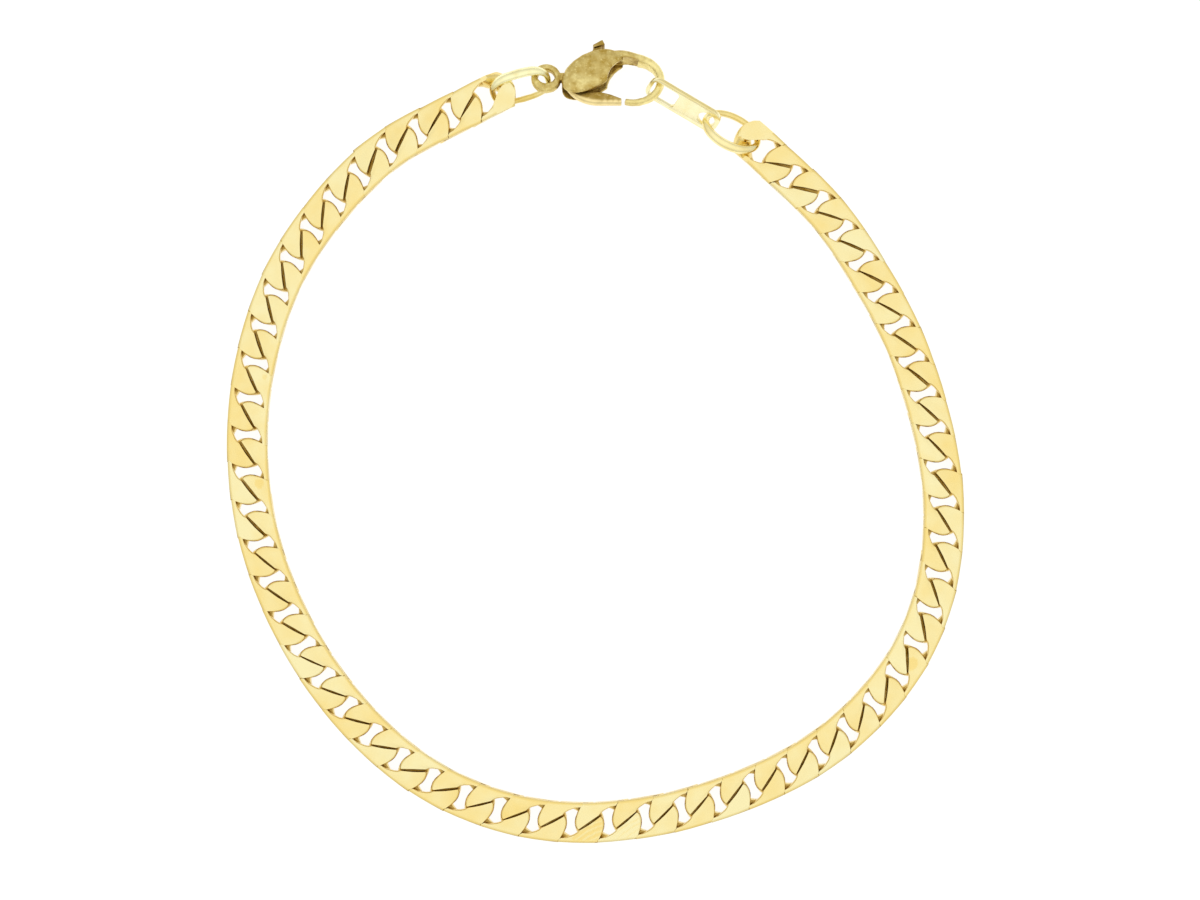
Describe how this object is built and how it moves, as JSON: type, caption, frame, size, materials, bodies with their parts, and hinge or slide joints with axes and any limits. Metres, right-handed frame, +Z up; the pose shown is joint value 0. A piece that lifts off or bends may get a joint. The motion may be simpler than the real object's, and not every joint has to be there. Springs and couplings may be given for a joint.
{
  "type": "curb link bracelet with a lobster clasp",
  "caption": "Gold curb link bracelet lying in its loop, closed by a lobster clasp with an oval connector, an oblong end tag and a jump ring.",
  "frame": {"origin": "middle of the loop's outline, on the surface that the bracelet lies on", "axes": "+Y from the middle of the loop to the clasp, +Z up from the surface, +X to the right seen from above"},
  "size_m": [0.0624, 0.0678, 0.0031],
  "materials": {
    "chain_gold": "polished pale gold",
    "clasp_gold": "worn cast gold",
    "lever_gold": "worn gold",
    "connector_gold": "polished pale gold",
    "tag_gold": "bright polished gold",
    "ring_gold": "polished gold"
  },
  "bodies": {
    "bracelet": {"curb_chain": "chain_gold", "clasp_body": "clasp_gold", "connector_link": "connector_gold", "end_tag": "tag_gold", "jump_ring": "ring_gold"},
    "lever": {"clasp_lever": "lever_gold"}
  },
  "joints": [
    {"name": "clasp_lever_hinge", "type": "hinge", "parent": "bracelet", "child": "lever", "pos_m": [-0.0014, 0.03018, 0.00181], "axis": [0, 0.309, 0.9511], "range_deg": [0, 22], "stiffness_Nm_per_rad": 0.002, "springref_deg": -17.19}
  ]
}
